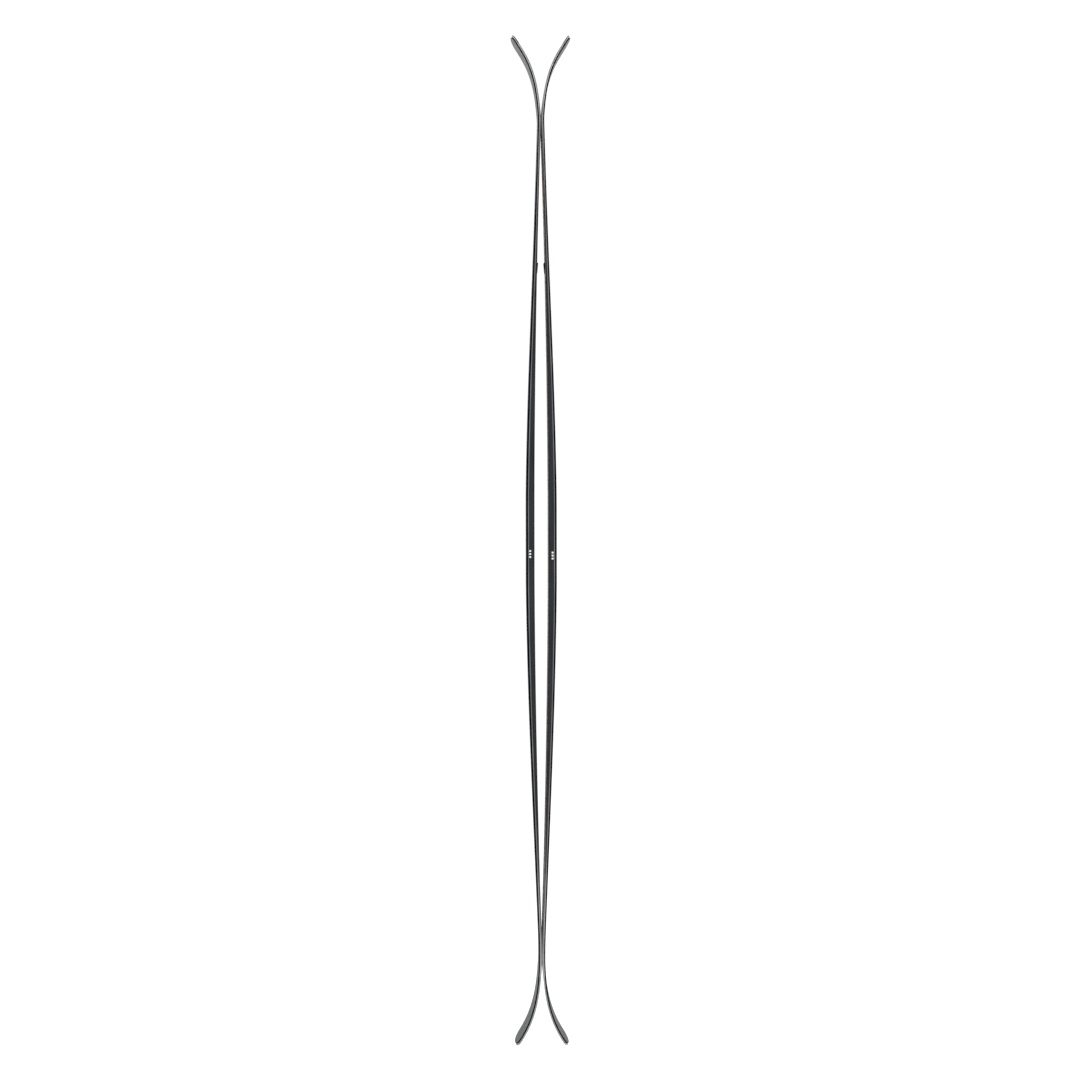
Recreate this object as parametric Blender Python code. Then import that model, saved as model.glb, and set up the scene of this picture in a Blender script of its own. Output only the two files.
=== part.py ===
"""A pair of wide, steel-edged, twin-tip cross country skis, stored upright and base to base.

Metres, +Z up. Z runs along the skis from the tail ends to the tip ends, and the plane between
the two skis is X = 0. The left ski lies on the -X side and the right ski on the +X side.

Each ski is a sandwich. It is modelled flat, on the coordinates z (along), y (across) and
h (height above the running base), and bend() then wraps it onto its camber and its raised ends.
"""

import math

import bmesh
import bpy

# Driving dimensions of one ski
LENGTH = 1.800            # straight length from the tail end to the tip end
TIP_WIDTH = 0.110
WAIST_WIDTH = 0.078
TAIL_WIDTH = 0.098
WAIST_AT = 0.860          # distance of the waist from the tail end
TIP_WIDEST_AT = 1.640
TAIL_WIDEST_AT = 0.150
END_ROUND = 0.014         # length of the half-ellipse that closes the outline at each end
END_FLAT_ANGLE = math.radians(10)

# Thickness along the ski
END_THICKNESS = 0.0052
MIDDLE_THICKNESS = 0.0146
THIN_TOWARDS_TIP = 0.680  # distance from the middle over which the ski thins
THIN_TOWARDS_TAIL = 0.820

# Camber, raised ends and the flat platform for the binding
PLATFORM_AT = 0.905
PLATFORM_LENGTH = 0.150
CAMBER_HEIGHT = 0.0122
CAMBER_TOWARDS_TIP = 0.742
CAMBER_TOWARDS_TAIL = 0.715
TIP_CAMBER_POWER = 2.0
TAIL_CAMBER_POWER = 1.85
TIP_RISE_START = 1.6526
TAIL_RISE_START = 0.1528
TIP_SWEEP = 0.118         # length of the curved part of a raised end, before it runs straight
TAIL_SWEEP = TAIL_RISE_START
TIP_LIFT = 0.0212
TAIL_LIFT = 0.0358
TIP_START_SLOPE = 0.085
TAIL_START_SLOPE = 0.0646
RISE_POWER = 3            # a sweep tightens towards its end
CONTACT_GAP = 0.0002      # base to the middle plane where the two skis meet
CONTACT_BLEND = 0.0004

# The sandwich, from the base up
GAP = 0.0003
BASE_THICKNESS = 0.0011
EDGE_HEIGHT = 0.0017
EDGE_WIDTH = 0.0022
FLANGE_WIDTH = 0.0065
FOIL_THICKNESS = 0.0003
SIDEWALL_WIDTH = 0.0080
SIDEWALL_INSET = 0.0003
BEVEL_HEIGHT = 0.0022
TOP_INSET = 0.0019
UPPER_LAMINATE = 0.0005
TOPSHEET = 0.0007
STRINGERS = 3
SEAM = 0.0003             # gap where the two foils meet at each end

FLANGE_BOTTOM = BASE_THICKNESS + GAP
FOIL_BOTTOM = EDGE_HEIGHT + GAP
LOWER_TOP = FOIL_BOTTOM + FOIL_THICKNESS
CORE_BOTTOM = LOWER_TOP + GAP

# Ranges of the pieces along the ski
CORE_START = 0.130
CORE_END = 1.670
PLATE_START = 0.765
PLATE_END = 1.045
PLATE_THICKNESS = 0.0009
PLATE_MARGIN = 0.004      # core left outside the plate's pocket on each side
POCKET_RAMP = 0.003
PAD_START = 1.381
PAD_LENGTH = 0.018
PAD_THIN_END = 0.0007     # the pad is a wedge, thick towards the tip
PAD_THICK_END = 0.0019
PAD_HALF_WIDTH = 0.022
PAD_ROUNDING = 0.0003

# Rows of vertices: start, end and number of steps of each stretch of the straight sides
SIDE_STRETCHES = (
    (END_ROUND, TAIL_RISE_START, 10),
    (TAIL_RISE_START, 0.24, 2),
    (0.24, PLATFORM_AT - PLATFORM_LENGTH / 2, 7),
    (PLATFORM_AT - PLATFORM_LENGTH / 2, PLATFORM_AT + PLATFORM_LENGTH / 2, 2),
    (PLATFORM_AT + PLATFORM_LENGTH / 2, 1.57, 7),
    (1.57, TIP_RISE_START, 2),
    (TIP_RISE_START, LENGTH - END_ROUND, 9),
)
END_STEPS = 5             # of each quarter of the rounded ends
GUARD_LENGTH = 0.018      # a guard covers the whole rounded end and a little of the sides
ROW_CLEARANCE = 0.004     # rows closer together than this are left out
SLOPE_STEP = 0.0005       # half the length over which a slope is measured

MATERIALS = {
    "topsheet": ((0.030, 0.031, 0.033), 0.30, 0.0),
    "laminate": ((0.012, 0.012, 0.013), 0.45, 0.0),
    "wood": ((0.55, 0.38, 0.21), 0.60, 0.0),
    "sidewall": ((0.035, 0.037, 0.042), 0.42, 0.0),
    "steel": ((0.55, 0.56, 0.57), 0.30, 1.0),
    "tip_guard": ((0.045, 0.036, 0.030), 0.50, 0.0),
    "tail_guard": ((0.40, 0.40, 0.39), 0.50, 0.0),
    "rubber": ((0.010, 0.010, 0.010), 0.85, 0.0),
    "base": ((0.46, 0.42, 0.38), 0.40, 0.0),
    "spacer": ((0.05, 0.05, 0.055), 0.50, 0.0),
    "plate": ((0.30, 0.31, 0.32), 0.35, 1.0),
}


def clear_scene():
    for item in list(bpy.data.objects):
        bpy.data.objects.remove(item, do_unlink=True)


def make_materials():
    made = {}
    for name, (color, roughness, metallic) in MATERIALS.items():
        material = bpy.data.materials.new(name)
        material.use_nodes = True
        shader = material.node_tree.nodes["Principled BSDF"]
        shader.inputs["Base Color"].default_value = (*color, 1.0)
        shader.inputs["Roughness"].default_value = roughness
        shader.inputs["Metallic"].default_value = metallic
        made[name] = material
    return made


# The bent shape of one ski

def smooth_max(a, b):
    return 0.5 * (a + b + math.sqrt((a - b) ** 2 + CONTACT_BLEND ** 2))


def from_platform(z):
    """Distance from the platform's middle, held constant over the flat platform."""
    return max(abs(z - PLATFORM_AT), PLATFORM_LENGTH / 2)


def camber(z):
    if z > PLATFORM_AT:
        reach, power = CAMBER_TOWARDS_TIP, TIP_CAMBER_POWER
    else:
        reach, power = CAMBER_TOWARDS_TAIL, TAIL_CAMBER_POWER
    platform_drop = (PLATFORM_LENGTH / 2 / reach) ** power
    drop = (from_platform(z) / reach) ** power - platform_drop
    return CAMBER_HEIGHT * (1 - drop / (1 - platform_drop))


def end_rise(along, start_slope, sweep, lift):
    """Height of a raised end: a sweep that tightens and then runs on as a straight."""
    share = min(max(along, 0.0), sweep) / sweep
    straight = max(along - sweep, 0.0)
    return start_slope * along + lift * share ** RISE_POWER + RISE_POWER * lift / sweep * straight


def base_offset(z):
    """Distance of the running base from the middle plane between the two skis."""
    tip = end_rise(z - TIP_RISE_START, TIP_START_SLOPE, TIP_SWEEP, TIP_LIFT)
    tail = end_rise(TAIL_RISE_START - z, TAIL_START_SLOPE, TAIL_SWEEP, TAIL_LIFT)
    return CONTACT_GAP + smooth_max(smooth_max(camber(z), smooth_max(tip, tail)), 0.0)


def thickness(z):
    reach = THIN_TOWARDS_TIP if z > PLATFORM_AT else THIN_TOWARDS_TAIL
    share = min(from_platform(z) / reach, 1.0)
    platform_share = PLATFORM_LENGTH / 2 / reach
    peak = math.cos(math.pi / 2 * platform_share) ** 2
    fullness = math.cos(math.pi / 2 * share) ** 2 / peak
    return END_THICKNESS + (MIDDLE_THICKNESS - END_THICKNESS) * fullness


def bend(side, z, y, h):
    slope = (base_offset(z + SLOPE_STEP) - base_offset(z - SLOPE_STEP)) / (2 * SLOPE_STEP)
    angle = math.atan(slope)
    x = base_offset(z) + h * math.cos(angle)
    return side * x, y, z - h * math.sin(angle)


# The flat outline of one ski

def half_width(z):
    """Sidecut: a parabola on each side of the waist, then a slight taper past the widest point."""
    if z > WAIST_AT:
        widest, widest_at = TIP_WIDTH, TIP_WIDEST_AT
    else:
        widest, widest_at = TAIL_WIDTH, TAIL_WIDEST_AT
    share = (z - WAIST_AT) / (widest_at - WAIST_AT)
    share = min(share, 2.0 - share)
    return (WAIST_WIDTH + (widest - WAIST_WIDTH) * share ** 2) / 2


def rim_point(row, inset):
    """Point (z, y) of a row of vertices, at a distance inside the ski's outline."""
    zone, value = row
    if zone == "side":
        return value, half_width(value) - inset
    shoulder = LENGTH - END_ROUND if zone == "tip" else END_ROUND
    reach = (END_ROUND - inset) * min(math.cos(value) / math.cos(END_FLAT_ANGLE), 1.0)
    z = shoulder + reach if zone == "tip" else shoulder - reach
    return z, (half_width(shoulder) - inset) * math.sin(value)


def steps(start, end, count):
    return [start + (end - start) * i / count for i in range(count + 1)]


def end_rows(zone):
    angles = steps(END_FLAT_ANGLE, math.pi / 2, END_STEPS)[:-1]
    return [(zone, angle) for angle in angles]


def side_rows(start, end):
    """Rows along the straight sides, from one distance to another."""
    found = [start]
    for low, high, count in SIDE_STRETCHES:
        for z in steps(low, high, count):
            if found[-1] + ROW_CLEARANCE < z < end - ROW_CLEARANCE:
                found.append(z)
    return [("side", z) for z in found + [end]]


def full_rows():
    middle = side_rows(END_ROUND, LENGTH - END_ROUND)
    return end_rows("tail") + middle + end_rows("tip")[::-1]


def wrapped(rows):
    """The same rows, carried on round each end to the ski's centre line."""
    return [("tail", 0.0)] + rows + [("tip", 0.0)]


def guard_rows(zone):
    """Rows of a guard, from the ski's centre line to where the steel edge begins."""
    if zone == "tip":
        sides = side_rows(LENGTH - GUARD_LENGTH, LENGTH - END_ROUND)[::-1]
    else:
        sides = side_rows(END_ROUND, GUARD_LENGTH)
    return [(zone, 0.0)] + end_rows(zone) + sides


def edge_rows():
    """Rows of a steel edge, which stops just short of the guard at each end."""
    return side_rows(GUARD_LENGTH + GAP, LENGTH - GUARD_LENGTH - GAP)


# Building pieces

def loft(name, rings, material, parent):
    """One closed body through a row of cross-sections."""
    mesh = bpy.data.meshes.new(name)
    shape = bmesh.new()
    loops = [[shape.verts.new(point) for point in ring] for ring in rings]
    for first, second in zip(loops, loops[1:]):
        for i in range(len(first)):
            j = (i + 1) % len(first)
            shape.faces.new((first[i], first[j], second[j], second[i]))
    shape.faces.new(loops[0])
    shape.faces.new(loops[-1])
    bmesh.ops.recalc_face_normals(shape, faces=shape.faces[:])
    shape.to_mesh(mesh)
    shape.free()
    mesh.materials.append(material)
    piece = bpy.data.objects.new(name, mesh)
    bpy.context.scene.collection.objects.link(piece)
    piece.parent = parent
    return piece


def sheet(name, side, rows, corners, material, parent):
    """A sheet from rim to rim. corners are (inset, height function) up one rim."""
    rings = []
    for row in rows:
        rim = [(*rim_point(row, inset), height) for inset, height in corners]
        near = [bend(side, z, -y, height(z)) for z, y, height in rim]
        far = [bend(side, z, y, height(z)) for z, y, height in rim]
        rings.append(near + far[::-1])
    return loft(name, rings, material, parent)


def strip(name, side, rows, hand, corners, material, parent):
    """A strip that follows one rim of the ski. hand is -1 or +1, the side of Y it is on."""
    rings = []
    for row in rows:
        ring = []
        for inset, height in corners:
            z, y = rim_point(row, inset)
            ring.append(bend(side, z, hand * max(y, SEAM / 2), height(z)))
        rings.append(ring)
    return loft(name, rings, material, parent)


def level(value):
    return lambda z: value


def below_top(depth):
    return lambda z: thickness(z) - depth


CORE_DEPTH = TOPSHEET + UPPER_LAMINATE + 2 * GAP     # top of the ski to the top of the core
HANDS = (("a", -1), ("b", 1))


def add_running_base(label, side, rows, look, parent):
    inset = EDGE_WIDTH + GAP
    corners = [(inset, level(0.0)), (inset, level(BASE_THICKNESS))]
    sheet(label + "running_base", side, rows, corners, look["base"], parent)


EDGE_SECTION = (
    (0.0, level(0.0)),
    (EDGE_WIDTH, level(0.0)),
    (EDGE_WIDTH, level(FLANGE_BOTTOM)),
    (FLANGE_WIDTH, level(FLANGE_BOTTOM)),
    (FLANGE_WIDTH, level(EDGE_HEIGHT)),
    (0.0, level(EDGE_HEIGHT)),
)


def add_steel_edges(label, side, look, parent):
    for letter, hand in HANDS:
        name = label + "steel_edge_" + letter
        strip(name, side, edge_rows(), hand, EDGE_SECTION, look["steel"], parent)


def add_guard(name, side, rows, material, parent):
    """Plastic guard that closes the rim round an end, between the two steel edges."""
    rings = []
    turns = [(-1, row) for row in rows[:0:-1]] + [(1, row) for row in rows]
    for hand, row in turns:
        ring = []
        for inset, height in EDGE_SECTION:
            z, y = rim_point(row, inset)
            ring.append(bend(side, z, hand * y, height(z)))
        rings.append(ring)
    loft(name, rings, material, parent)


def add_guards(label, side, look, parent):
    for zone in ("tip", "tail"):
        name = zone + "_guard"
        add_guard(label + name, side, guard_rows(zone), look[name], parent)


def add_damping_foils(label, side, rows, look, parent):
    """Rubber foil bonded over the anchor flange of each steel edge."""
    outer = 2 * SIDEWALL_INSET
    corners = [
        (outer, level(FOIL_BOTTOM)),
        (FLANGE_WIDTH, level(FOIL_BOTTOM)),
        (FLANGE_WIDTH, level(LOWER_TOP)),
        (outer, level(LOWER_TOP)),
    ]
    for letter, hand in HANDS:
        name = label + "damping_foil_" + letter
        strip(name, side, wrapped(rows), hand, corners, look["rubber"], parent)


def add_lower_laminate(label, side, rows, look, parent):
    inset = FLANGE_WIDTH + GAP
    corners = [(inset, level(FLANGE_BOTTOM)), (inset, level(LOWER_TOP))]
    sheet(label + "lower_laminate", side, rows, corners, look["laminate"], parent)


def add_sidewalls(label, side, look, parent):
    """Plastic sidewall with its upper corner planed off."""
    rows = side_rows(CORE_START, CORE_END)

    def bevel_start(z):
        top = thickness(z) - CORE_DEPTH
        return top - min(BEVEL_HEIGHT, (top - CORE_BOTTOM) / 2)

    corners = [
        (SIDEWALL_INSET, level(CORE_BOTTOM)),
        (SIDEWALL_WIDTH, level(CORE_BOTTOM)),
        (SIDEWALL_WIDTH, below_top(CORE_DEPTH)),
        (TOP_INSET, below_top(CORE_DEPTH)),
        (SIDEWALL_INSET, bevel_start),
    ]
    for letter, hand in HANDS:
        strip(label + "sidewall_" + letter, side, rows, hand, corners, look["sidewall"], parent)


def core_rows():
    """Rows of the core, with a short ramp at each end of the plate's pocket."""
    rows = side_rows(CORE_START, CORE_END)
    ramps = [PLATE_START - GAP - POCKET_RAMP, PLATE_START - GAP]
    ramps += [PLATE_END + GAP, PLATE_END + GAP + POCKET_RAMP]
    rows = [row for row in rows if min(abs(row[1] - z) for z in ramps) > ROW_CLEARANCE]
    return sorted(rows + [("side", z) for z in ramps], key=lambda row: row[1])


def core_top(z):
    in_pocket = PLATE_START - 2 * GAP < z < PLATE_END + 2 * GAP
    pocket = PLATE_THICKNESS + GAP if in_pocket else 0.0
    return thickness(z) - CORE_DEPTH - pocket


def add_core(label, side, look, parent):
    """Laminated wood core: stringers side by side between the two sidewalls."""
    for number in range(STRINGERS):
        low = -1 + 2 * number / STRINGERS
        high = low + 2 / STRINGERS
        rings = []
        for row in core_rows():
            z, reach = rim_point(row, SIDEWALL_WIDTH + GAP / 2)
            y0 = reach * low + GAP / 2
            y1 = reach * high - GAP / 2
            section = ((y0, CORE_BOTTOM), (y1, CORE_BOTTOM), (y1, core_top(z)), (y0, core_top(z)))
            rings.append([bend(side, z, y, h) for y, h in section])
        loft(label + "core_stringer_" + str(number + 1), rings, look["wood"], parent)


def add_spacers(label, side, look, parent):
    """Plastic fillers that take over from the core in the raised ends."""
    corners = [(SIDEWALL_INSET, level(CORE_BOTTOM)), (TOP_INSET, below_top(CORE_DEPTH))]
    tail_rows = end_rows("tail") + side_rows(END_ROUND, CORE_START - GAP)
    tip_rows = side_rows(CORE_END + GAP, LENGTH - END_ROUND) + end_rows("tip")[::-1]
    sheet(label + "tail_spacer", side, tail_rows, corners, look["spacer"], parent)
    sheet(label + "tip_spacer", side, tip_rows, corners, look["spacer"], parent)


def add_binding_plate(label, side, look, parent):
    """Metal plate in a pocket of the core, which holds the binding's screws."""
    inset = SIDEWALL_WIDTH + PLATE_MARGIN
    top = CORE_DEPTH
    corners = [(inset, below_top(top + PLATE_THICKNESS)), (inset, below_top(top))]
    rows = side_rows(PLATE_START, PLATE_END)
    sheet(label + "binding_plate", side, rows, corners, look["plate"], parent)


def add_top_layers(label, side, rows, look, parent):
    laminate_top = TOPSHEET + GAP
    laminate = [
        (TOP_INSET, below_top(laminate_top + UPPER_LAMINATE)),
        (TOP_INSET, below_top(laminate_top)),
    ]
    cover = [(TOP_INSET, below_top(TOPSHEET)), (TOP_INSET, below_top(0.0))]
    sheet(label + "upper_laminate", side, rows, laminate, look["laminate"], parent)
    sheet(label + "topsheet", side, rows, cover, look["topsheet"], parent)


def add_base_pad(label, side, look, parent):
    """Small stick-on wedge that keeps the two running bases apart in storage."""
    rings = []
    for z, height in ((PAD_START, PAD_THIN_END), (PAD_START + PAD_LENGTH, PAD_THICK_END)):
        section = (
            (-PAD_HALF_WIDTH, -GAP),
            (PAD_HALF_WIDTH, -GAP),
            (PAD_HALF_WIDTH, -GAP - height),
            (-PAD_HALF_WIDTH, -GAP - height),
        )
        rings.append([bend(side, z, y, h) for y, h in section])
    pad = loft(label + "base_pad", rings, look["rubber"], parent)
    rounding = pad.modifiers.new("rounding", "BEVEL")
    rounding.width = PAD_ROUNDING
    rounding.segments = 2


def add_ski(label, side, look):
    frame = bpy.data.objects.new(label + "frame", None)
    bpy.context.scene.collection.objects.link(frame)
    rows = full_rows()
    add_running_base(label, side, rows, look, frame)
    add_steel_edges(label, side, look, frame)
    add_guards(label, side, look, frame)
    add_damping_foils(label, side, rows, look, frame)
    add_lower_laminate(label, side, rows, look, frame)
    add_sidewalls(label, side, look, frame)
    add_core(label, side, look, frame)
    add_spacers(label, side, look, frame)
    add_binding_plate(label, side, look, frame)
    add_top_layers(label, side, rows, look, frame)
    add_base_pad(label, side, look, frame)


def main():
    clear_scene()
    look = make_materials()
    add_ski("left_ski_", -1, look)
    add_ski("right_ski_", 1, look)


main()
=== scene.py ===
"""Looks of a pair of wide twin-tip cross country skis, upright and base to base.

Every visible layer of each ski is built again here with fine rows and rounded corners, on the
bent shape of the CAD model. The layers that lie inside keep their CAD solids.
Metres, +Z up. Z runs along the skis from the tail ends to the tip ends, and the plane between
the two skis is X = 0. Each layer is worked out on a flat ski, from z (along), y (across) and
the height over the running base, and bend() wraps it onto the camber and the raised ends.
"""

import math

import bmesh
import bpy
from mathutils import Matrix, Vector


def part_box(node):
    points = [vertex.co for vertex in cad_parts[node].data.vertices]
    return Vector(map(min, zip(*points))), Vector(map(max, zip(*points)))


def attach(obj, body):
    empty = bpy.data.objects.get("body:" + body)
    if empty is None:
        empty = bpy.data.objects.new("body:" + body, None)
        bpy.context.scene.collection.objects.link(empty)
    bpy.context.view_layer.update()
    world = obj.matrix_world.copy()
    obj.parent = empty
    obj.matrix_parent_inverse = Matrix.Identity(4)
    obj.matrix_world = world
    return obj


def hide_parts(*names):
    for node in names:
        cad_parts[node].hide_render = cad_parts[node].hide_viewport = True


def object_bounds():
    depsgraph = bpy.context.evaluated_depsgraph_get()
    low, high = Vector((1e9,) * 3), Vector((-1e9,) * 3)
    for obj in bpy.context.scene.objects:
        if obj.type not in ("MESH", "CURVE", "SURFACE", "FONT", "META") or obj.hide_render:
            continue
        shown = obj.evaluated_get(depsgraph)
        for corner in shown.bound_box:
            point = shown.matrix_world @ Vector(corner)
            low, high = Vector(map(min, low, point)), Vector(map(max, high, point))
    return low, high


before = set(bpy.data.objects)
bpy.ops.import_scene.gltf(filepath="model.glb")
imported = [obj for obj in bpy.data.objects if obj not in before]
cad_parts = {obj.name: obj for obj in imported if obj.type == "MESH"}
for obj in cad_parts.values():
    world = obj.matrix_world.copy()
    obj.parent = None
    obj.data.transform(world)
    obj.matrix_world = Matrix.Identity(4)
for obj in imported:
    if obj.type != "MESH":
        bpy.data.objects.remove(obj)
CAD_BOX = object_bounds()

SKIS = (("left", -1), ("right", 1))   # each ski's name and its side of X
HANDS = (("a", -1), ("b", 1))         # each rim's letter and its side of Y

# Outline of one ski, seen from above
LENGTH = CAD_BOX[1][2] - CAD_BOX[0][2]
TIP_WIDTH = 0.110
WAIST_WIDTH = 0.078
TAIL_WIDTH = 0.098
WAIST_AT = 0.860
TIP_WIDEST_AT = 1.640
TAIL_WIDEST_AT = 0.150
END_ROUND = 0.014                     # length of the half-ellipse that closes each end
END_FLAT_ANGLE = math.radians(10)     # the ellipse is cut straight within this angle

# Thickness, camber and raised ends
END_THICKNESS = 0.0052
MIDDLE_THICKNESS = 0.0146
THIN_TOWARDS_TIP = 0.680              # distance over which the ski thins
THIN_TOWARDS_TAIL = 0.820
PLATFORM_AT = 0.905
PLATFORM_LENGTH = 0.150
CAMBER_HEIGHT = 0.0122
CAMBER_TOWARDS_TIP = 0.742
CAMBER_TOWARDS_TAIL = 0.715
TIP_CAMBER_POWER = 2.0
TAIL_CAMBER_POWER = 1.85
TIP_RISE_START = 1.6526
TAIL_RISE_START = 0.1528
TIP_SWEEP = 0.118                     # length of a raised end's curved part
TAIL_SWEEP = TAIL_RISE_START
TIP_LIFT = 0.0212                     # height that the curve adds to the start slope's
TAIL_LIFT = 0.0358
TIP_START_SLOPE = 0.085
TAIL_START_SLOPE = 0.0646
RISE_POWER = 3                        # a sweep tightens towards its end
CONTACT_GAP = 0.0002                  # base to the middle plane where the two skis meet
CONTACT_BLEND = 0.0004                # how softly a raised end leaves that contact
SLOPE_STEP = 0.0005                   # half the stretch that a slope is measured over

# The layers that show, from the base up. Insets are from the outline, heights over the base
BOND = 0.00002                        # hairline between two bonded layers
BASE_THICKNESS = 0.0013
EDGE_HEIGHT = 0.0017
EDGE_WIDTH = 0.0022
FLANGE_WIDTH = 0.0065
FOIL_TOP = 0.0020
SIDEWALL_WIDTH = 0.0080
SIDEWALL_INSET = 0.0003
BEVEL_HEIGHT = 0.0015
BEVEL_SHARE = 0.85                    # of the side below the black band, where the ski is thin
TOP_INSET = 0.0019
TOPSHEET = 0.0008
UPPER_LAMINATE = 0.0008
CORE_START = 0.130
CORE_END = 1.670
GUARD_LENGTH = 0.018
GUARD_GAP = 0.0001                    # between a guard and a steel edge
END_BAND = 0.0009                     # black upper part of the side at the raised ends
MIDDLE_BAND = 0.0016                  # the same at the platform

# Stick-on wedge pad on the base
PAD_CORNER = 0.0035
PAD_FILLET = 0.0005
PAD_THIN_END = 0.0010
PAD_THICK_END = 0.0022

# Three plain bars printed on each sidewall
MARK_AT = {"left": 0.8834, "right": 0.8806}
MARK_HEIGHT = {"left": 0.0078, "right": 0.0072}
MARK_PITCH = 0.0053
BAR_LENGTH = 0.0030
BAR_HEIGHT = 0.0034
BAR_CORNER = BAR_LENGTH / 6
PRINT_THICKNESS = 0.00004

# Roundings
SHARP = 0.00008
SOFT = 0.00030
FILLET_STEPS = 4                      # steps round each corner of a cross-section
CORNER_POINTS = FILLET_STEPS + 1
FILLET_REACH = 0.45                   # most of a side that the rounding of one corner takes
OUTLINE_STEPS = 8                     # steps round each corner of a pad or a bar
CREASE_ANGLE = math.radians(50)       # a sharper fold than this is shaded as an edge

# Fine rows of vertices along the ski
RAISED_STEP = 0.003
MIDDLE_STEP = 0.014
RAISED_TO = 0.24                      # the tail's fine rows end here
RAISED_FROM = 1.56                    # the tip's fine rows start here
END_STEPS = 20
ROW_CLEARANCE = 0.001

# Distances from mid-length over which a layer turns from its middle tone to its end tone. The paler end
# tones of the bevel, the foil and the base are painted light
TOPSHEET_FADE = (0.64, 0.75)
BEVEL_HIGHLIGHT_FADE = (0.56, 0.74)
FOIL_HIGHLIGHT_FADE = (0.64, 0.74)
BASE_LIGHT_FADE = (0.36, 0.60)

# Patterns and colours
WEAVE_PITCH = 0.0030
WEAVE_ANGLE = math.radians(32)
KNURL_PITCH = 0.0022
KNURL_ANGLE = math.radians(40)
WAVE_PERIOD = math.pi / 10            # of a wave texture at scale 1
NOISE_LOW = 0.3                       # most of a noise texture lies between these
NOISE_HIGH = 0.7
SCREEN_WHITE = 255
SCREEN_OFFSET = 0.055                 # of the curve from a screen's grey to linear light
SCREEN_POWER = 2.4
BLACK = (0, 0, 0, 1)
WHITE = (1, 1, 1, 1)

# Looks of the layers that lie inside
INNER_LOOKS = {
    "lower_laminate": "cut_edge",
    "binding_plate": "plate",
    "core_stringer_1": "wood",
    "core_stringer_2": "wood",
    "core_stringer_3": "wood",
}

# Stage, light and camera
FLOOR_DROP = 0.15
FLOOR_SIZE = 14.0
FLOOR_ROUGHNESS = 0.9
WORLD_STRENGTH = 1.03
LIGHT_AT = (0.0, 0.5, 4.5)
LIGHT_SIZE = 3.0
LIGHT_POWER = 60.0
CAMERA_AT = (-0.1051, -5.35, 1.1401)
CAMERA_YAW = math.radians(1.104)
CAMERA_PITCH = math.radians(-2.499)
CAMERA_ROLL = math.radians(-0.081)
CAMERA_LENS = 100.03
CAMERA_SENSOR = 36.0


# The bent shape of one ski

def smooth_max(a, b):
    return 0.5 * (a + b + math.sqrt((a - b) ** 2 + CONTACT_BLEND ** 2))


def from_platform(z):
    """Distance from the platform's middle, held constant over the flat platform."""
    return max(abs(z - PLATFORM_AT), PLATFORM_LENGTH / 2)


def camber(z):
    if z > PLATFORM_AT:
        reach, power = CAMBER_TOWARDS_TIP, TIP_CAMBER_POWER
    else:
        reach, power = CAMBER_TOWARDS_TAIL, TAIL_CAMBER_POWER
    platform_drop = (PLATFORM_LENGTH / 2 / reach) ** power
    drop = (from_platform(z) / reach) ** power - platform_drop
    return CAMBER_HEIGHT * (1 - drop / (1 - platform_drop))


def end_rise(along, start_slope, sweep, lift):
    """Height of a raised end: a sweep that tightens and then runs on as a straight."""
    share = min(max(along, 0.0), sweep) / sweep
    straight = max(along - sweep, 0.0)
    return start_slope * along + lift * share ** RISE_POWER + RISE_POWER * lift / sweep * straight


def base_offset(z):
    """Distance of the running base from the middle plane between the two skis."""
    tip = end_rise(z - TIP_RISE_START, TIP_START_SLOPE, TIP_SWEEP, TIP_LIFT)
    tail = end_rise(TAIL_RISE_START - z, TAIL_START_SLOPE, TAIL_SWEEP, TAIL_LIFT)
    return CONTACT_GAP + smooth_max(smooth_max(camber(z), smooth_max(tip, tail)), 0.0)


def fullness(z):
    """1 on the platform, falling to 0 where the ski is at its thinnest."""
    reach = THIN_TOWARDS_TIP if z > PLATFORM_AT else THIN_TOWARDS_TAIL
    share = min(from_platform(z) / reach, 1.0)
    platform_share = PLATFORM_LENGTH / 2 / reach
    peak = math.cos(math.pi / 2 * platform_share) ** 2
    return math.cos(math.pi / 2 * share) ** 2 / peak


def thickness(z):
    return END_THICKNESS + (MIDDLE_THICKNESS - END_THICKNESS) * fullness(z)


def bend(side, z, y, height):
    """A point of the flat ski at its place in the pair."""
    slope = (base_offset(z + SLOPE_STEP) - base_offset(z - SLOPE_STEP)) / (2 * SLOPE_STEP)
    angle = math.atan(slope)
    x = base_offset(z) + height * math.cos(angle)
    return side * x, y, z - height * math.sin(angle)


def half_width(z):
    """Half of the width, which grows from the waist and falls again past the widest place."""
    if z > WAIST_AT:
        widest, widest_at = TIP_WIDTH, TIP_WIDEST_AT
    else:
        widest, widest_at = TAIL_WIDTH, TAIL_WIDEST_AT
    share = (z - WAIST_AT) / (widest_at - WAIST_AT)
    share = min(share, 2.0 - share)
    return (WAIST_WIDTH + (widest - WAIST_WIDTH) * share ** 2) / 2


def rim_point(row, inset):
    """Point (z, y) of a row of vertices, at a distance inside the ski's outline."""
    zone, value = row
    if zone == "side":
        return value, half_width(value) - inset
    shoulder = LENGTH - END_ROUND if zone == "tip" else END_ROUND
    reach = (END_ROUND - inset) * min(math.cos(value) / math.cos(END_FLAT_ANGLE), 1.0)
    z = shoulder + reach if zone == "tip" else shoulder - reach
    return z, (half_width(shoulder) - inset) * math.sin(value)


# Rows: a zone, and a distance along on the sides or an angle round an end

def spread(start, end, step):
    count = max(1, round((end - start) / step))
    return [start + (end - start) * i / count for i in range(count + 1)]


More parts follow.
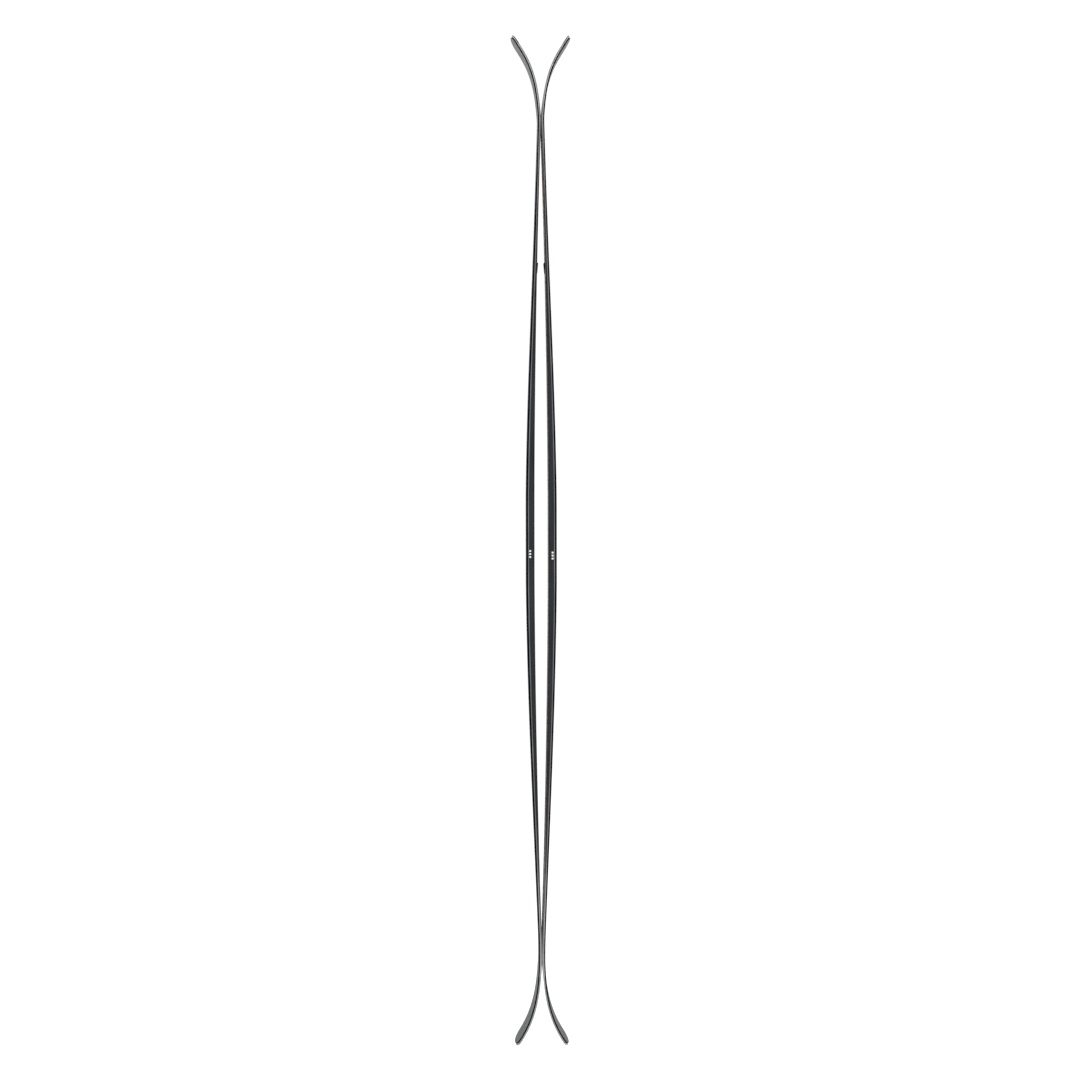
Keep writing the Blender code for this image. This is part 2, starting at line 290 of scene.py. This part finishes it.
def side_rows(start, end):
    grid = spread(END_ROUND, RAISED_TO, RAISED_STEP)
    grid += spread(RAISED_TO, RAISED_FROM, MIDDLE_STEP)
    grid += spread(RAISED_FROM, LENGTH - END_ROUND, RAISED_STEP)
    found = [start]
    for z in grid:
        if found[-1] + ROW_CLEARANCE < z < end - ROW_CLEARANCE:
            found.append(z)
    return [("side", z) for z in found + [end]]


def end_rows(zone):
    """Rows of a rounded end, from its flat middle to the shoulder."""
    step = (math.pi / 2 - END_FLAT_ANGLE) / END_STEPS
    return [(zone, END_FLAT_ANGLE + step * i) for i in range(END_STEPS)]


def full_rows():
    return end_rows("tail") + side_rows(END_ROUND, LENGTH - END_ROUND) + end_rows("tip")[::-1]


def guard_rows(zone):
    """Rows of a guard, from the ski's centre line to where the steel edge begins."""
    if zone == "tip":
        sides = side_rows(LENGTH - GUARD_LENGTH, LENGTH - END_ROUND)[::-1]
    else:
        sides = side_rows(END_ROUND, GUARD_LENGTH)
    return [(zone, 0.0)] + end_rows(zone) + sides


def edge_rows():
    end = GUARD_LENGTH + GUARD_GAP
    return side_rows(end, LENGTH - end)


# Cross-sections: points (inset from the outline, height over the base)

def fillet(before, corner, after, radius):
    """A rounded corner from one side's tangent to the other's."""
    corner = Vector(corner)
    to_before = Vector(before) - corner
    to_after = Vector(after) - corner
    reach = min(radius, FILLET_REACH * to_before.length, FILLET_REACH * to_after.length)
    start = corner + to_before.normalized() * reach
    stop = corner + to_after.normalized() * reach
    points = []
    for i in range(CORNER_POINTS):
        share = i / FILLET_STEPS
        points.append((1 - share) ** 2 * start + 2 * share * (1 - share) * corner + share ** 2 * stop)
    return points


def closed_section(corners, radius):
    points = []
    for i, corner in enumerate(corners):
        after = corners[(i + 1) % len(corners)]
        points += fillet(corners[i - 1], corner, after, radius)
    return points


def open_section(corners, radius):
    """One rim of a sheet. The first and last corners only lead in from inside the sheet."""
    points = []
    for before, corner, after in zip(corners, corners[1:], corners[2:]):
        points += fillet(before, corner, after, radius)
    return points


def rim_section(inset, bottom, top, radius):
    """An upright rim of a sheet, from its lower corner to its upper corner."""
    inside = inset + FLANGE_WIDTH
    return open_section(((inside, bottom), (inset, bottom), (inset, top), (inside, top)), radius)


def core_top(z):
    return thickness(z) - TOPSHEET - UPPER_LAMINATE - 2 * BOND


def band_bottom(z):
    """Lower limit of the black band that runs along under the laminate."""
    return core_top(z) - END_BAND - (MIDDLE_BAND - END_BAND) * fullness(z)


def base_section(z):
    return rim_section(EDGE_WIDTH + BOND, 0.0, BASE_THICKNESS, SHARP)


def edge_section(z):
    flange_bottom = BASE_THICKNESS + BOND
    corners = (
        (0.0, 0.0),
        (EDGE_WIDTH, 0.0),
        (EDGE_WIDTH, flange_bottom),
        (FLANGE_WIDTH, flange_bottom),
        (FLANGE_WIDTH, EDGE_HEIGHT),
        (0.0, EDGE_HEIGHT),
    )
    return closed_section(corners, SHARP)


def foil_section(z):
    bottom = EDGE_HEIGHT + BOND
    outer = 2 * SIDEWALL_INSET
    corners = ((outer, bottom), (FLANGE_WIDTH, bottom), (FLANGE_WIDTH, FOIL_TOP), (outer, FOIL_TOP))
    return closed_section(corners, SHARP)


def sidewall_section(z):
    bottom = FOIL_TOP + BOND
    top = core_top(z)
    bevel_bottom = band_bottom(z) - min(BEVEL_HEIGHT, BEVEL_SHARE * (band_bottom(z) - bottom))
    corners = (
        (SIDEWALL_INSET, bottom),
        (SIDEWALL_WIDTH, bottom),
        (SIDEWALL_WIDTH, top),
        (TOP_INSET, top),
        (TOP_INSET, band_bottom(z)),
        (SIDEWALL_INSET, bevel_bottom),
    )
    return closed_section(corners, SHARP)


def spacer_section(z):
    """Leans in up to the black band and stands upright inside it."""
    bottom = FOIL_TOP + BOND
    top = core_top(z)
    corners = (
        (FLANGE_WIDTH, bottom),
        (SIDEWALL_INSET, bottom),
        (TOP_INSET, band_bottom(z)),
        (TOP_INSET, top),
        (FLANGE_WIDTH, top),
    )
    return open_section(corners, SHARP)


def laminate_section(z):
    top = thickness(z) - TOPSHEET - BOND
    return rim_section(TOP_INSET, top - UPPER_LAMINATE + BOND, top, SHARP)


def topsheet_section(z):
    top = thickness(z)
    return rim_section(TOP_INSET, top - TOPSHEET, top, SOFT)


# Paints: a material number for the face after each point of a cross-section

def plain_paint(i):
    return 0


def sidewall_paint(i):
    """Material 2 on the top and down the black band, 1 on the bevel below it."""
    top_start = 2 * CORNER_POINTS + FILLET_STEPS // 2 + 1
    bevel_start = 4 * CORNER_POINTS
    bevel_end = 5 * CORNER_POINTS + 1
    if i < top_start or i >= bevel_end:
        return 0
    return 2 if i < bevel_start else 1


def spacer_paint(i):
    """Material 1 on the black band, which starts at the second corner."""
    return 1 if i > CORNER_POINTS else 0


def topsheet_paint(i):
    """Material 1 on the cut rim, below the middle of the upper rounding."""
    return 1 if i < CORNER_POINTS + FILLET_STEPS // 2 else 0


# Meshes

def new_object(name, data):
    made = bpy.data.objects.new(name, data)
    bpy.context.scene.collection.objects.link(made)
    return made


def finish_mesh(name, shape, materials):
    bmesh.ops.recalc_face_normals(shape, faces=shape.faces[:])
    mesh = bpy.data.meshes.new(name)
    for face in shape.faces:
        face.smooth = True
    shape.to_mesh(mesh)
    shape.free()
    for material in materials:
        mesh.materials.append(material)
    piece = new_object(name, mesh)
    mesh.set_sharp_from_angle(angle=CREASE_ANGLE)
    normals = piece.modifiers.new("even_normals", "WEIGHTED_NORMAL")
    normals.keep_sharp = True
    return piece


def skin(shape, rings, paint=plain_paint):
    """Faces between each two neighbouring rings of points."""
    loops = [[shape.verts.new(point) for point in ring] for ring in rings]
    for first, second in zip(loops, loops[1:]):
        count = len(first)
        for i in range(count):
            j = (i + 1) % count
            face = shape.faces.new((first[i], first[j], second[j], second[i]))
            face.material_index = paint(i)
    return loops


def closed_skin(shape, rings, paint=plain_paint):
    """A skin with a face over its first ring and one over its last."""
    loops = skin(shape, rings, paint)
    shape.faces.new(loops[0])
    shape.faces.new(loops[-1])


def sheet(name, side, rows, section, materials, paint=plain_paint):
    """A sheet from rim to rim. section gives one rim's points for a row's distance along."""
    rings = []
    for row in rows:
        rim = [(*rim_point(row, inset), height) for inset, height in section(rim_point(row, 0.0)[0])]
        near = [bend(side, z, -y, height) for z, y, height in rim]
        far = [bend(side, z, y, height) for z, y, height in rim]
        rings.append(near + far[::-1])
    count = len(rings[0])
    rim_count = count // 2

    def ring_paint(i):
        if i in (rim_count - 1, count - 1):
            return 0
        return paint(min(i, count - 2 - i))

    shape = bmesh.new()
    loops = skin(shape, rings, ring_paint)
    for loop in (loops[0], loops[-1]):
        for i in range(rim_count - 1):
            mirror = count - 1 - i
            face = shape.faces.new((loop[i], loop[i + 1], loop[mirror - 1], loop[mirror]))
            face.material_index = ring_paint(i)
    return finish_mesh(name, shape, materials)


def strip(name, side, rows, hands, section, materials, paint=plain_paint):
    """A strip along the rim. hands holds, for each row, the side of Y it is on."""
    rings = []
    for row, hand in zip(rows, hands):
        ring = []
        for inset, height in section(rim_point(row, 0.0)[0]):
            z, y = rim_point(row, inset)
            ring.append(bend(side, z, hand * y, height))
        rings.append(ring)
    shape = bmesh.new()
    closed_skin(shape, rings, paint)
    return finish_mesh(name, shape, materials)


def round_outline(half_length, half_across, corner):
    """A rectangle with round corners, as (along, across) from its centre."""
    points = []
    for turn, (a, b) in enumerate(((1, 1), (-1, 1), (-1, -1), (1, -1))):
        for i in range(OUTLINE_STEPS + 1):
            angle = math.pi / 2 * (turn + i / OUTLINE_STEPS)
            along = a * (half_length - corner) + corner * math.cos(angle)
            across = b * (half_across - corner) + corner * math.sin(angle)
            points.append((along, across))
    return points


# Materials

class Look:
    """A material's node tree, with short calls for the nodes that the looks share."""

    def __init__(self, name, metallic=0.0, specular=0.5):
        self.material = bpy.data.materials.new(name)
        self.material.use_nodes = True
        self.tree = self.material.node_tree
        self.shader = self.tree.nodes["Principled BSDF"]
        self.feed(metallic, "Metallic")
        self.feed(specular, "Specular IOR Level")
        self.position = self.node("ShaderNodeTexCoord").outputs["Object"]

    def node(self, kind, **settings):
        made = self.tree.nodes.new(kind)
        for key, value in settings.items():
            setattr(made, key, value)
        return made

    def give(self, socket, value):
        """A socket takes a plain value or a link from another node."""
        if isinstance(value, bpy.types.NodeSocket):
            self.tree.links.new(value, socket)
        else:
            socket.default_value = value

    def feed(self, value, socket):
        self.give(self.shader.inputs[socket], value)

    def calculate(self, operation, *values):
        made = self.node("ShaderNodeMath", operation=operation)
        for socket, value in zip(made.inputs, values):
            self.give(socket, value)
        return made.outputs[0]

    def stretched(self, scale, turn=0.0):
        mapping = self.node("ShaderNodeMapping")
        self.give(mapping.inputs["Scale"], scale)
        self.give(mapping.inputs["Rotation"], (turn, 0.0, 0.0))
        self.give(mapping.inputs["Vector"], self.position)
        return mapping.outputs["Vector"]

    def noise(self, scale, stretch=(1, 1, 1), detail=4.0):
        made = self.node("ShaderNodeTexNoise")
        self.give(made.inputs["Scale"], scale)
        self.give(made.inputs["Detail"], detail)
        self.give(made.inputs["Vector"], self.stretched(stretch))
        return made.outputs["Fac"]

    def wave(self, pitch, turn):
        """Soft bands of that pitch across the ski's face, turned in its plane."""
        made = self.node("ShaderNodeTexWave", bands_direction="Z", wave_profile="SIN")
        self.give(made.inputs["Scale"], WAVE_PERIOD / pitch)
        self.give(made.inputs["Vector"], self.stretched((1, 1, 1), turn))
        return made.outputs["Fac"]

    def crossed(self, pitch, turn):
        """Two sets of soft bands, turned to either side."""
        return self.mix(0.5, self.wave(pitch, turn), self.wave(pitch, -turn))

    def tones(self, pattern, first, second, low=NOISE_LOW, high=NOISE_HIGH):
        """A colour that turns from the first to the second as the pattern rises."""
        made = self.node("ShaderNodeValToRGB")
        for stop, position, color in zip(made.color_ramp.elements, (low, high), (first, second)):
            stop.position = position
            stop.color = color
        self.give(made.inputs["Fac"], pattern)
        return made.outputs["Color"]

    def mix(self, factor, a, b, blend="MIX"):
        """Mixes two colours: sockets 6 and 7 in, and 2 out, are the mix node's colour ones."""
        made = self.node("ShaderNodeMix", data_type="RGBA", blend_type=blend)
        self.give(made.inputs[0], factor)
        self.give(made.inputs[6], a)
        self.give(made.inputs[7], b)
        return made.outputs[2]

    def remap(self, value, low, high, to_low=0.0, to_high=1.0):
        made = self.node("ShaderNodeMapRange")
        self.give(made.inputs["Value"], value)
        self.give(made.inputs["From Min"], low)
        self.give(made.inputs["From Max"], high)
        self.give(made.inputs["To Min"], to_low)
        self.give(made.inputs["To Max"], to_high)
        return made.outputs["Result"]

    def along(self):
        made = self.node("ShaderNodeSeparateXYZ")
        self.give(made.inputs[0], self.position)
        return made.outputs["Z"]

    def end_share(self, inner, outer):
        """0 over the ski's middle, rising to 1 towards both of its ends."""
        from_middle = self.calculate("ABSOLUTE", self.calculate("SUBTRACT", self.along(), LENGTH / 2))
        return self.remap(from_middle, inner, outer)

    def roughness(self, pattern, smooth, rough):
        self.feed(self.remap(pattern, NOISE_LOW, NOISE_HIGH, smooth, rough), "Roughness")

    def bump(self, height, strength, distance):
        made = self.node("ShaderNodeBump")
        self.give(made.inputs["Strength"], strength)
        self.give(made.inputs["Distance"], distance)
        self.give(made.inputs["Height"], height)
        self.feed(made.outputs["Normal"], "Normal")


def grey(level, tint=0.0):
    """Linear colour of a screen grey from 0 to 255. tint above 0 is warm, below 0 is blue."""
    value = ((level / SCREEN_WHITE + SCREEN_OFFSET) / (1 + SCREEN_OFFSET)) ** SCREEN_POWER
    return (value * (1 + tint), value, value * (1 - tint), 1.0)


def topsheet_look():
    """Printed fibre weave: black along the middle, grey at the ends and palest at the tip."""
    look = Look("topsheet_weave", specular=0.02)
    weave = look.crossed(WEAVE_PITCH, WEAVE_ANGLE)
    patches = look.noise(9.0, (1, 1, 0.35))
    towards_tip = look.remap(look.along(), 0.1, 1.6)
    ends = look.end_share(*TOPSHEET_FADE)
    dark = look.mix(ends, grey(8), look.mix(towards_tip, grey(70, -0.02), grey(94)))
    light = look.mix(ends, grey(18), look.mix(towards_tip, grey(112, -0.02), grey(140)))
    color = look.mix(look.tones(weave, BLACK, WHITE), dark, light)
    cloud = look.tones(patches, grey(236), grey(255))
    look.feed(look.mix(1.0, color, cloud, "MULTIPLY"), "Base Color")
    scratches = look.noise(420.0, (1, 6, 0.12), 6.0)
    look.roughness(scratches, 0.40, 0.56)
    look.bump(weave, 0.25, 0.0001)
    return look.material


def cut_edge_look():
    """Cut edge of the black print and the fibre laminate."""
    look = Look("cut_edge", specular=0.0)
    fibres = look.noise(900.0, (1, 1, 0.08), 5.0)
    look.feed(look.tones(fibres, grey(2), grey(14), high=0.75), "Base Color")
    look.roughness(fibres, 0.42, 0.62)
    look.bump(fibres, 0.3, 0.00006)
    return look.material


def sidewall_look():
    look = Look("sidewall_plastic", specular=0.14)
    streaks = look.noise(260.0, (1, 1, 0.05), 5.0)
    clouds = look.noise(14.0, (1, 1, 0.4))
    dark = look.tones(streaks, grey(26, -0.13), grey(47, -0.15), high=0.72)
    haze = look.remap(clouds, 0.35, 0.7, 0.0, 0.35)
    look.feed(look.mix(haze, dark, grey(54, -0.12)), "Base Color")
    look.roughness(streaks, 0.34, 0.52)
    look.bump(streaks, 0.35, 0.00008)
    return look.material


def bevel_look():
    """The planed bevel: pale and slightly rough, with a painted highlight along it, and paler still
    towards the raised ends as painted light.
    """
    look = Look("planed_bevel", specular=0.2)
    streaks = look.noise(300.0, (1, 1, 0.06), 5.0)
    # Painted highlight: the pale grey along the bevel, and the paler grey at the raised ends.
    middle = look.tones(streaks, grey(98, -0.05), grey(130, -0.05))
    ends = look.tones(streaks, grey(204, -0.05), grey(230, -0.05))
    look.feed(look.mix(look.end_share(*BEVEL_HIGHLIGHT_FADE), middle, ends), "Base Color")
    look.roughness(streaks, 0.38, 0.54)
    look.bump(streaks, 0.3, 0.00006)
    return look.material


def spacer_look():
    """Silver grey, a little bluer and paler in the tip than in the tail, where the paler tip is a
    painted highlight.
    """
    look = Look("spacer_plastic", specular=0.2)
    streaks = look.noise(280.0, (1, 1, 0.08), 5.0)
    tail = look.tones(streaks, grey(150, -0.03), grey(178, -0.03))
    # Painted highlight: the paler, bluer tone in the tip.
    tip = look.tones(streaks, grey(226, -0.06), grey(244, -0.06))
    towards_tip = look.remap(look.along(), 0.4, 1.4)
    look.feed(look.mix(towards_tip, tail, tip), "Base Color")
    look.roughness(streaks, 0.32, 0.46)
    look.bump(streaks, 0.25, 0.00005)
    return look.material


def steel_look():
    """Ground steel with painted reflections: dark along the middle, paler where the two skis meet and
    palest at the ends.
    """
    look = Look("edge_steel", metallic=0.9, specular=0.2)
    grind = look.noise(700.0, (1, 1, 0.03), 6.0)
    spots = look.noise(60.0, (1, 1, 0.5), 5.0)
    along = look.along()
    # These tones are painted reflection: dark in the middle, paler where the skis meet, palest at the
    # tip and tail.
    tone = look.tones(grind, grey(34, 0.04), grey(62, 0.04), 0.25, 0.75)
    contact_reflection = look.tones(grind, grey(84, 0.04), grey(110, 0.04), 0.25, 0.75)
    tip = look.tones(grind, grey(122, -0.04), grey(152, -0.04), 0.25, 0.75)
    tail = look.tones(grind, grey(142, -0.01), grey(170, -0.01), 0.25, 0.75)
    # Lengths along the ski where the painted reflection turns from one tone to the next.
    turns = ((1.52, 1.62, contact_reflection), (0.42, 0.32, contact_reflection), (1.62, 1.70, tip), (0.22, 0.14, tail))
    for start, end, next_reflection in turns:
        tone = look.mix(look.remap(along, start, end), tone, next_reflection)
    stain = look.remap(spots, 0.56, 0.72, 0.0, 0.35)
    look.feed(look.mix(stain, tone, grey(52, 0.12)), "Base Color")
    look.roughness(grind, 0.24, 0.42)
    look.bump(grind, 0.4, 0.00005)
    return look.material


def base_look():
    """Waxed running base with its stone-ground structure, darker along the middle and paler towards the
    ends, where the paler tone is painted light.
    """
    look = Look("running_base", specular=0.03)
    lines = look.noise(1100.0, (1, 1, 0.012), 3.0)
    wax = look.noise(18.0, (1, 1, 0.3), 5.0)
    # The paler tone towards the ends of the base is painted light.
    darker_middle = look.tones(wax, grey(142, 0.17), grey(164, 0.15))
    painted_light_ends = look.tones(wax, grey(216, 0.16), grey(234, 0.14))
    color = look.mix(look.end_share(*BASE_LIGHT_FADE), darker_middle, painted_light_ends)
    groove = look.tones(lines, grey(225), grey(255), 0.35, 0.6)
    look.feed(look.mix(1.0, color, groove, "MULTIPLY"), "Base Color")
    look.roughness(wax, 0.42, 0.58)
    look.bump(lines, 0.35, 0.00005)
    return look.material


def foil_look():
    """Rubber foil, pale towards the raised ends as a painted highlight."""
    look = Look("rubber_foil", specular=0.1)
    grain = look.noise(900.0, (1, 1, 0.3), 6.0)
    middle = look.tones(grain, grey(22), grey(40))
    # Painted highlight: the foil's pale tone at the raised ends.
    ends = look.tones(grain, grey(124, -0.03), grey(148, -0.03))
    look.feed(look.mix(look.end_share(*FOIL_HIGHLIGHT_FADE), middle, ends), "Base Color")
    look.roughness(grain, 0.70, 0.90)
    look.bump(grain, 0.4, 0.0001)
    return look.material


def rubber_look():
    look = Look("rubber", specular=0.2)
    grain = look.noise(900.0, (1, 1, 1), 6.0)
    look.feed(look.tones(grain, grey(22), grey(40)), "Base Color")
    look.roughness(grain, 0.70, 0.90)
    look.bump(grain, 0.4, 0.0001)
    return look.material


def tip_guard_look():
    look = Look("tip_guard_plastic", specular=0.2)
    grain = look.noise(500.0, (1, 1, 1), 5.0)
    look.feed(look.tones(grain, grey(34, 0.22), grey(56, 0.20)), "Base Color")
    look.roughness(grain, 0.40, 0.58)
    look.bump(grain, 0.3, 0.00008)
    return look.material


def tail_guard_look():
    """Pale moulded plastic, knurled with a fine crossed pattern."""
    look = Look("tail_guard_plastic", specular=0.3)
    knurl = look.crossed(KNURL_PITCH, KNURL_ANGLE)
    grain = look.noise(500.0, (1, 1, 1), 5.0)
    tone = look.tones(knurl, grey(82), grey(176, 0.01), 0.32, 0.62)
    dust = look.remap(grain, 0.3, 0.8, 0.0, 0.3)
    look.feed(look.mix(dust, tone, grey(150)), "Base Color")
    look.roughness(grain, 0.42, 0.60)
    look.bump(knurl, 0.5, 0.0001)
    return look.material


def mark_look():
    look = Look("white_print", specular=0.3)
    grain = look.noise(600.0, (1, 1, 1), 4.0)
    look.feed(look.tones(grain, grey(226), grey(246)), "Base Color")
    look.roughness(grain, 0.34, 0.46)
    look.bump(grain, 0.2, 0.00004)
    return look.material


def wood_look():
    look = Look("core_wood", specular=0.3)
    rings = look.noise(60.0, (1, 1, 0.04), 6.0)
    fibres = look.noise(900.0, (1, 1, 0.02), 4.0)
    color = look.tones(rings, (0.42, 0.25, 0.12, 1), (0.66, 0.47, 0.27, 1))
    shade = look.remap(fibres, NOISE_LOW, NOISE_HIGH, 0.0, 0.3)
    look.feed(look.mix(shade, color, (0.35, 0.20, 0.09, 1)), "Base Color")
    look.roughness(fibres, 0.5, 0.7)
    look.bump(fibres, 0.3, 0.0001)
    return look.material


def plate_look():
    look = Look("plate_metal", metallic=1.0)
    rolled = look.noise(500.0, (1, 1, 0.02), 5.0)
    look.feed(look.tones(rolled, grey(140), grey(170)), "Base Color")
    look.roughness(rolled, 0.28, 0.42)
    look.bump(rolled, 0.3, 0.00005)
    return look.material


def floor_look():
    look = Look("pale_floor", specular=0.0)
    mottle = look.noise(3.0)
    look.feed(look.tones(mottle, grey(251), grey(254)), "Base Color")
    look.feed(FLOOR_ROUGHNESS, "Roughness")
    return look.material


def make_looks():
    return {
        "topsheet": topsheet_look(),
        "cut_edge": cut_edge_look(),
        "sidewall": sidewall_look(),
        "bevel": bevel_look(),
        "spacer": spacer_look(),
        "steel": steel_look(),
        "base": base_look(),
        "rubber": rubber_look(),
        "foil": foil_look(),
        "tip_guard": tip_guard_look(),
        "tail_guard": tail_guard_look(),
        "mark": mark_look(),
        "wood": wood_look(),
        "plate": plate_look(),
    }


# Pieces of one ski

def place(piece, ski, slot, *nodes):
    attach(piece, ski + "_ski")
    if nodes:
        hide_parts(*[ski + "_ski_" + node for node in nodes])


def add_base(ski, side, looks):
    base = sheet(ski + "_base", side, full_rows(), base_section, [looks["base"]])
    place(base, ski, "base", "running_base")


def add_edges(ski, side, looks):
    rows = edge_rows()
    for letter, hand in HANDS:
        hands = [hand] * len(rows)
        edge = strip(ski + "_edge_" + letter, side, rows, hands, edge_section, [looks["steel"]])
        place(edge, ski, "steel", "steel_edge_" + letter)


def add_foils(ski, side, looks):
    rows = [("tail", 0.0)] + full_rows() + [("tip", 0.0)]
    for letter, hand in HANDS:
        hands = [hand] * len(rows)
        foil = strip(ski + "_foil_" + letter, side, rows, hands, foil_section, [looks["foil"]])
        place(foil, ski, "rubber", "damping_foil_" + letter)


def add_guard(ski, side, zone, looks):
    """Closes the rim round an end, from one steel edge to the other."""
    one_side = guard_rows(zone)
    rows = one_side[:0:-1] + one_side
    hands = [-1] * (len(one_side) - 1) + [1] * len(one_side)
    slot = zone + "_guard"
    guard = strip(ski + "_" + zone + "_end_guard", side, rows, hands, edge_section, [looks[slot]])
    place(guard, ski, slot, slot)


def add_walls(ski, side, looks):
    rows = side_rows(CORE_START, CORE_END)
    materials = [looks["sidewall"], looks["bevel"], looks["cut_edge"]]
    for letter, hand in HANDS:
        hands = [hand] * len(rows)
        name = ski + "_wall_" + letter
        wall = strip(name, side, rows, hands, sidewall_section, materials, sidewall_paint)
        place(wall, ski, "sidewall", "sidewall_" + letter)


def add_spacers(ski, side, looks):
    tail_rows = end_rows("tail") + side_rows(END_ROUND, CORE_START - BOND)
    tip_rows = side_rows(CORE_END + BOND, LENGTH - END_ROUND) + end_rows("tip")[::-1]
    materials = [looks["spacer"], looks["cut_edge"]]
    for zone, rows in (("tail", tail_rows), ("tip", tip_rows)):
        name = ski + "_" + zone + "_filler"
        spacer = sheet(name, side, rows, spacer_section, materials, spacer_paint)
        place(spacer, ski, "spacer", zone + "_spacer")


def add_top(ski, side, looks):
    rows = full_rows()
    laminate = sheet(ski + "_laminate", side, rows, laminate_section, [looks["cut_edge"]])
    place(laminate, ski, "laminate", "upper_laminate")
    materials = [looks["topsheet"], looks["cut_edge"]]
    cover = sheet(ski + "_cover", side, rows, topsheet_section, materials, topsheet_paint)
    place(cover, ski, "topsheet", "topsheet")


def add_pad(ski, side, looks):
    """A wedge on the base, thin towards the tail, with a rounded rim."""
    low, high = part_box(ski + "_ski_base_pad")
    middle = (low[2] + high[2]) / 2
    half_length = (high[2] - low[2]) / 2
    half_across = (high[1] - low[1]) / 2
    levels = [(0.0, 0.0)]   # each ring's inset and its share of the pad's thickness
    for i in range(CORNER_POINTS):
        angle = math.pi / 2 * i / FILLET_STEPS
        inset = PAD_FILLET * (1 - math.cos(angle))
        levels.append((inset, 1 - PAD_FILLET / PAD_THICK_END * (1 - math.sin(angle))))
    rings = []
    for inset, share in levels:
        ring = []
        for along, across in round_outline(half_length - inset, half_across - inset, PAD_CORNER - inset):
            thick_share = 0.5 + along / half_length / 2
            height = (PAD_THIN_END + (PAD_THICK_END - PAD_THIN_END) * thick_share) * share
            ring.append(bend(side, middle + along, across, -BOND - height))
        rings.append(ring)
    shape = bmesh.new()
    closed_skin(shape, rings)
    pad = finish_mesh(ski + "_pad", shape, [looks["rubber"]])
    place(pad, ski, "rubber", "base_pad")


def add_bar(shape, side, hand, middle, middle_height):
    """One bar, half sunk into the sidewall's face."""
    rings = []
    for inset in (SIDEWALL_INSET + PRINT_THICKNESS, SIDEWALL_INSET - PRINT_THICKNESS):
        ring = []
        for along, up in round_outline(BAR_LENGTH / 2, BAR_HEIGHT / 2, BAR_CORNER):
            z = middle + along
            ring.append(bend(side, z, hand * (half_width(z) - inset), middle_height + up))
        rings.append(ring)
    closed_skin(shape, rings)


def add_marks(ski, side, looks):
    shape = bmesh.new()
    for _, hand in HANDS:
        for number in (-1, 0, 1):
            add_bar(shape, side, hand, MARK_AT[ski] + number * MARK_PITCH, MARK_HEIGHT[ski])
    marks = finish_mesh(ski + "_print_bars", shape, [looks["mark"]])
    place(marks, ski, "sidewall")


def repaint_inner(ski, looks):
    for node, look in INNER_LOOKS.items():
        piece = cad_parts[ski + "_ski_" + node]
        piece.data.materials.clear()
        piece.data.materials.append(looks[look])


def add_ski(ski, side, looks):
    add_base(ski, side, looks)
    add_edges(ski, side, looks)
    add_foils(ski, side, looks)
    add_guard(ski, side, "tip", looks)
    add_guard(ski, side, "tail", looks)
    add_walls(ski, side, looks)
    add_spacers(ski, side, looks)
    add_top(ski, side, looks)
    add_pad(ski, side, looks)
    add_marks(ski, side, looks)
    repaint_inner(ski, looks)


# Stage, light and camera

def add_floor():
    half_size = FLOOR_SIZE / 2
    corners = ((-1, -1), (1, -1), (1, 1), (-1, 1))
    shape = bmesh.new()
    shape.faces.new([shape.verts.new((x * half_size, y * half_size, -FLOOR_DROP)) for x, y in corners])
    mesh = bpy.data.meshes.new("floor")
    shape.to_mesh(mesh)
    shape.free()
    mesh.materials.append(floor_look())
    floor = new_object("floor", mesh)


def add_light():
    data = bpy.data.lights.new("overhead", "AREA")
    data.shape = "SQUARE"
    data.size = LIGHT_SIZE
    data.energy = LIGHT_POWER
    light = new_object("overhead", data)
    light.location = LIGHT_AT
    to_skis = Vector((0.0, 0.0, LENGTH / 2)) - Vector(LIGHT_AT)
    light.rotation_euler = to_skis.to_track_quat("-Z", "Y").to_euler()


def add_world():
    world = bpy.data.worlds.new("studio")
    bpy.context.scene.world = world
    world.use_nodes = True
    background = world.node_tree.nodes["Background"]
    background.inputs["Color"].default_value = WHITE
    background.inputs["Strength"].default_value = WORLD_STRENGTH
    bpy.context.scene.view_settings.view_transform = "Standard"


def add_camera():
    data = bpy.data.cameras.new("camera")
    data.lens = CAMERA_LENS
    data.sensor_width = CAMERA_SENSOR
    data.dof.use_dof = False
    camera = new_object("camera", data)
    turn = Matrix.Rotation(-CAMERA_YAW, 3, "Z")
    tilt = Matrix.Rotation(math.pi / 2 + CAMERA_PITCH, 3, "X")
    roll = Matrix.Rotation(CAMERA_ROLL, 3, "Z")
    camera.rotation_euler = (turn @ tilt @ roll).to_euler()
    camera.location = CAMERA_AT
    bpy.context.scene.camera = camera


looks = make_looks()
for ski, side in SKIS:
    add_ski(ski, side, looks)
add_floor()
add_world()
add_light()
add_camera()
